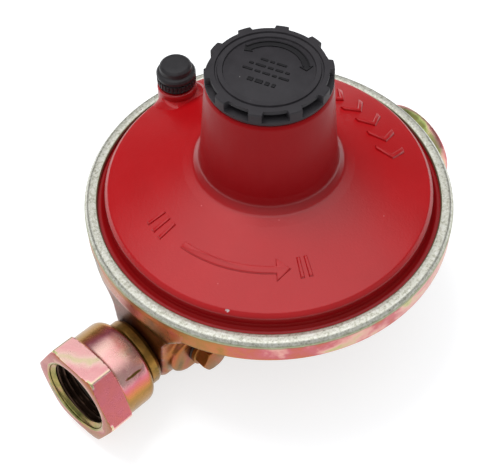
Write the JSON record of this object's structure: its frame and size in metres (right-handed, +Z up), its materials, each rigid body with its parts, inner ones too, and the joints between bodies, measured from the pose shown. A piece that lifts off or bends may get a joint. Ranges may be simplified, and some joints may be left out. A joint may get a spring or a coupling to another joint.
{
  "type": "gas diaphragm pressure regulator",
  "caption": "Low-pressure gas regulator: die-cast body with hex union-nut inlet and round outlet boss, red conical cover, spring tower, toothed cap, breather vent and lever valve.",
  "frame": {"origin": "centre of the flat underside of the body's hub, on the spring tower's axis", "axes": "+Z up along the spring tower's axis; +X along the gas way from the union nut to the outlet boss; +Y toward the breather vent, -Y toward the test port"},
  "size_m": [0.1396, 0.1034, 0.0924],
  "materials": {
    "body_chromate": "yellow-chromated zinc die casting, bare bright metal on the rolled lip",
    "cover_red": "gloss red enamel with faint orange peel",
    "cap_plastic": "charcoal moulded plastic, fine grain",
    "rubber_black": "moulded rubber",
    "steel_zinc": "zinc-plated steel",
    "spring_steel": "drawn spring wire",
    "brass_turned": "turned brass",
    "nut_chromate": "yellow-chromated hexagon, iridescent",
    "nipple_olive": "olive-brown chromated turned part",
    "gasket_dark": "dark sealing ring",
    "filter_mesh": "woven mesh thimble",
    "vent_plastic": "black moulded plastic",
    "acetal_white": "moulded acetal"
  },
  "bodies": {
    "regulator_body": {"lower_body": "body_chromate", "top_cover": "cover_red", "nozzle": "brass_turned", "nozzle_oring": "rubber_black", "inlet_nipple": "nipple_olive", "inlet_gasket": "gasket_dark", "inlet_filter": "filter_mesh", "lever_bracket": "steel_zinc", "bracket_screw_a": "steel_zinc", "bracket_screw_b": "steel_zinc", "lever_pin": "steel_zinc", "vent_screen": "filter_mesh", "test_plug": "nut_chromate", "test_plug_washer": "gasket_dark"},
    "nut": {"union_nut": "nut_chromate"},
    "cap_ring": {"cap_seal": "rubber_black"},
    "cap": {"tower_cap": "cap_plastic"},
    "spring_seat": {"upper_spring_seat": "steel_zinc", "main_spring": "spring_steel"},
    "setting_screw": {"adjusting_screw": "acetal_white"},
    "stem": {"relief_stem": "brass_turned", "relief_nut": "brass_turned"},
    "membrane": {"diaphragm": "rubber_black", "upper_diaphragm_plate": "steel_zinc", "lower_diaphragm_plate": "steel_zinc", "relief_spring": "spring_steel"},
    "lever_arm": {"lever": "steel_zinc"},
    "plunger": {"valve_plunger": "brass_turned", "seat_pad": "rubber_black"},
    "vent_ring": {"vent_seal": "rubber_black"},
    "vent": {"vent_cap": "vent_plastic"}
  },
  "joints": [
    {"name": "nut_swivel", "type": "hinge", "parent": "regulator_body", "child": "nut", "pos_m": [-0.06284, -0.00013, 0.01749], "axis": [0.9945, 0.0631, -0.084], "continuous": true},
    {"name": "cap_lift", "type": "slide", "parent": "regulator_body", "child": "cap_ring", "axis": [0, 0, 1], "range_m": [0, 0.006]},
    {"name": "cap_turn", "type": "hinge", "parent": "cap_ring", "child": "cap", "pos_m": [0, 0, 0.09], "axis": [0, 0, 1], "range_deg": [-5, 1135]},
    {"name": "adjuster_travel", "type": "slide", "parent": "regulator_body", "child": "spring_seat", "axis": [0, 0, 1], "range_m": [-0.006, 0.001], "deforming": ["main_spring"]},
    {"name": "adjuster_turn", "type": "hinge", "parent": "spring_seat", "child": "setting_screw", "pos_m": [0, 0, 0.079], "axis": [0, 0, 1], "range_deg": [-1485, 270]},
    {"name": "diaphragm_stroke", "type": "slide", "parent": "regulator_body", "child": "stem", "axis": [0, 0, 1], "range_m": [0, 0.003]},
    {"name": "relief_lift", "type": "slide", "parent": "stem", "child": "membrane", "axis": [0, 0, 1], "range_m": [0, 0.0015], "deforming": ["relief_spring", "diaphragm"]},
    {"name": "lever_swing", "type": "hinge", "parent": "regulator_body", "child": "lever_arm", "pos_m": [0.014, 0, 0.024], "axis": [0, 1, 0], "range_deg": [-0.5, 13.4]},
    {"name": "valve_slide", "type": "slide", "parent": "regulator_body", "child": "plunger", "axis": [-1, 0, 0], "range_m": [0, 0.00165]},
    {"name": "vent_lift", "type": "slide", "parent": "regulator_body", "child": "vent_ring", "axis": [0, 0, 1], "range_m": [0, 0.004]},
    {"name": "vent_turn", "type": "hinge", "parent": "vent_ring", "child": "vent", "pos_m": [0.00256, 0.04182, 0.06], "axis": [0, 0, 1], "range_deg": [-5, 1490]}
  ],
  "couplings": [
    {"joint": "cap_turn", "follows": "cap_lift", "rad_per_m": 3141.6},
    {"joint": "adjuster_turn", "follows": "adjuster_travel", "rad_per_m": 4188.8},
    {"joint": "vent_turn", "follows": "vent_lift", "rad_per_m": 6283.2},
    {"joint": "lever_swing", "follows": "diaphragm_stroke", "rad_per_m": 71.429},
    {"joint": "valve_slide", "follows": "diaphragm_stroke", "ratio": 0.5}
  ]
}
